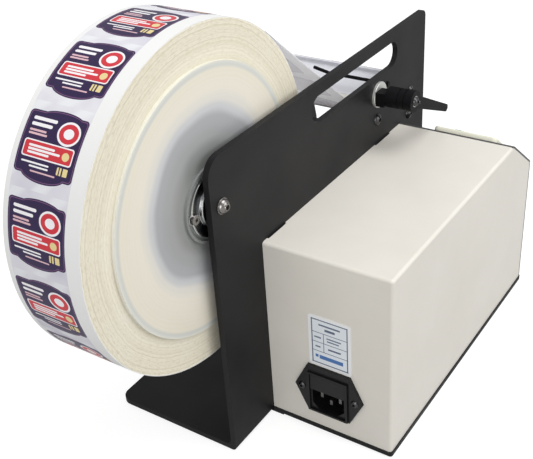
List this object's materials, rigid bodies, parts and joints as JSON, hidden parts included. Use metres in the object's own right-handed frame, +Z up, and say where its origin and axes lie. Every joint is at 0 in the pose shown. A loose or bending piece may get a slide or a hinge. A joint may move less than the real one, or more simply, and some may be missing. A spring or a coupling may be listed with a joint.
{
  "type": "label dispenser machine",
  "caption": "Desk-top electric label dispenser: a side plate with a handle slot carries a wound label roll and the label path, and a sheet-metal box with mains inlet and drive.",
  "frame": {"origin": "on the table, under the box face of the side plate and the rear face of the box, on the first foot pad", "axes": "+X from the box through the side plate to the roll, +Y to the rear, away from where the label comes out, +Z up"},
  "size_m": [0.1967, 0.3912, 0.2942],
  "materials": {
    "plate_black": "satin black powder coat",
    "cover_cream": "satin cream powder coat",
    "panel_dark": "satin",
    "bezel_cream": "fine grain",
    "sticker_white": "satin film",
    "inlet_black": "semi-gloss",
    "pin_metal": "plated",
    "steel_bright": "ground",
    "steel_sheet": "sheet steel",
    "screw_zinc": "zinc plated",
    "screw_black": "black oxide",
    "flange_dark": "dark turned steel",
    "disc_pale": "milky translucent sheet",
    "hub_white": "moulded",
    "bearing_steel": "polished",
    "cardboard": "card, wound",
    "label_paper": "printed labels on backing paper",
    "bush_white": "turned plastic",
    "lever_black": "satin black",
    "rubber_black": "matt",
    "rubber_grey": "matt",
    "spring_steel": "drawn wire",
    "sensor_black": "moulded",
    "motor_steel": "drawn can",
    "gearbox_alloy": "die cast",
    "board_green": "solder resist",
    "chip_black": "moulded",
    "supply_case": "pressed sheet",
    "button_green": "glossy",
    "lens_red": "clear lens",
    "rocker_black": "moulded",
    "knob_black": "moulded",
    "screw_brass": "turned"
  },
  "bodies": {
    "frame": {"main_frame": "plate_black", "base_tray": "plate_black", "box_cover": "cover_cream", "front_panel": "panel_dark", "control_bezel": "bezel_cream", "rating_plate": "sticker_white", "inlet_housing": "inlet_black", "inlet_pins": "pin_metal", "inlet_screws": "screw_black", "spindle": "steel_bright", "spindle_screw": "screw_zinc", "label_web": "label_paper", "presented_label": "label_paper", "lever_bush": "bush_white", "hold_down_rod": "lever_black", "plate_screws": "screw_black", "tie_screws": "screw_black", "small_screws": "screw_black", "tie_bars": "steel_bright", "end_plate": "plate_black", "pinch_rod": "steel_bright", "peel_platform": "steel_sheet", "guide_axle": "steel_bright", "pinch_spring": "spring_steel", "gearbox": "gearbox_alloy", "motor_can": "motor_steel", "power_supply": "supply_case", "control_board": "board_green", "board_posts": "screw_brass", "board_parts": "chip_black", "rocker_housing": "rocker_black", "knob_pot": "motor_steel", "indicator_lens": "lens_red", "foot_pads": "rubber_black"},
    "spool": {"spindle_flange": "flange_dark", "flange_screws": "screw_zinc", "inner_disc": "disc_pale", "core_hub": "hub_white", "hub_bearings": "bearing_steel", "roll_core": "cardboard", "label_roll": "label_paper"},
    "retainer": {"outer_disc": "disc_pale", "locking_collar": "gearbox_alloy"},
    "lock_screw": {"thumb_screw": "screw_brass"},
    "guide": {"guide_roller": "hub_white"},
    "drive": {"drive_core": "steel_bright", "drive_sleeve": "rubber_black"},
    "arm": {"pinch_arm": "steel_sheet", "pinch_axle": "steel_bright"},
    "pinch": {"pinch_roller": "rubber_grey"},
    "lever": {"lever_shaft": "steel_bright", "lever_hub": "lever_black", "release_lever": "lever_black", "lever_screws": "screw_black", "hold_down_flap": "steel_sheet"},
    "sensor": {"sensor_block": "sensor_black"},
    "drawer": {"fuse_drawer": "inlet_black"},
    "button": {"feed_button": "button_green"},
    "rocker": {"power_rocker": "rocker_black"},
    "knob": {"speed_knob": "knob_black"}
  },
  "joints": [
    {"name": "spool_spin", "type": "hinge", "parent": "frame", "child": "spool", "pos_m": [0.037, 0.0368, 0.1878], "axis": [1, 0, 0], "continuous": true},
    {"name": "guide_spin", "type": "hinge", "parent": "frame", "child": "guide", "pos_m": [0.0376, -0.1572, 0.1693], "axis": [1, 0, 0], "continuous": true},
    {"name": "drive_spin", "type": "hinge", "parent": "frame", "child": "drive", "pos_m": [0.052, -0.2, 0.112], "axis": [1, 0, 0], "continuous": true},
    {"name": "arm_swing", "type": "hinge", "parent": "frame", "child": "arm", "pos_m": [0.0515, -0.2092, 0.1443], "axis": [1, 0, 0], "range_deg": [0, 15], "stiffness_Nm_per_rad": 0.6, "springref_deg": -34.38},
    {"name": "pinch_spin", "type": "hinge", "parent": "arm", "child": "pinch", "pos_m": [0.0515, -0.18529, 0.12671], "axis": [1, 0, 0], "continuous": true},
    {"name": "lever_turn", "type": "hinge", "parent": "frame", "child": "lever", "pos_m": [0, -0.158, 0.1803], "axis": [1, 0, 0], "range_deg": [-30, 0]},
    {"name": "retainer_slide", "type": "slide", "parent": "spool", "child": "retainer", "axis": [1, 0, 0], "range_m": [0, 0.035]},
    {"name": "lock_screw_turn", "type": "hinge", "parent": "retainer", "child": "lock_screw", "pos_m": [0.0824, 0.04535, 0.21129], "axis": [0, 0.342, 0.9397], "range_deg": [0, 360]},
    {"name": "sensor_slide", "type": "slide", "parent": "frame", "child": "sensor", "axis": [1, 0, 0], "range_m": [-0.016, 0.04]},
    {"name": "drawer_slide", "type": "slide", "parent": "frame", "child": "drawer", "axis": [0, 1, 0], "range_m": [0, 0.018]},
    {"name": "button_press", "type": "slide", "parent": "frame", "child": "button", "axis": [0, 0.6045, -0.7966], "range_m": [0, 0.0012], "stiffness_N_per_m": 300, "springref_m": -0.0005},
    {"name": "rocker_tilt", "type": "hinge", "parent": "frame", "child": "rocker", "pos_m": [-0.028, -0.2298, 0.084], "axis": [1, 0, 0], "range_deg": [-16, 0]},
    {"name": "knob_turn", "type": "hinge", "parent": "frame", "child": "knob", "pos_m": [-0.062, -0.2348, 0.084], "axis": [0, 1, 0], "range_deg": [-135, 135]}
  ],
  "couplings": [
    {"joint": "guide_spin", "follows": "spool_spin", "ratio": -17.733},
    {"joint": "drive_spin", "follows": "spool_spin", "ratio": -8.8667},
    {"joint": "pinch_spin", "follows": "spool_spin", "ratio": 13.3}
  ]
}
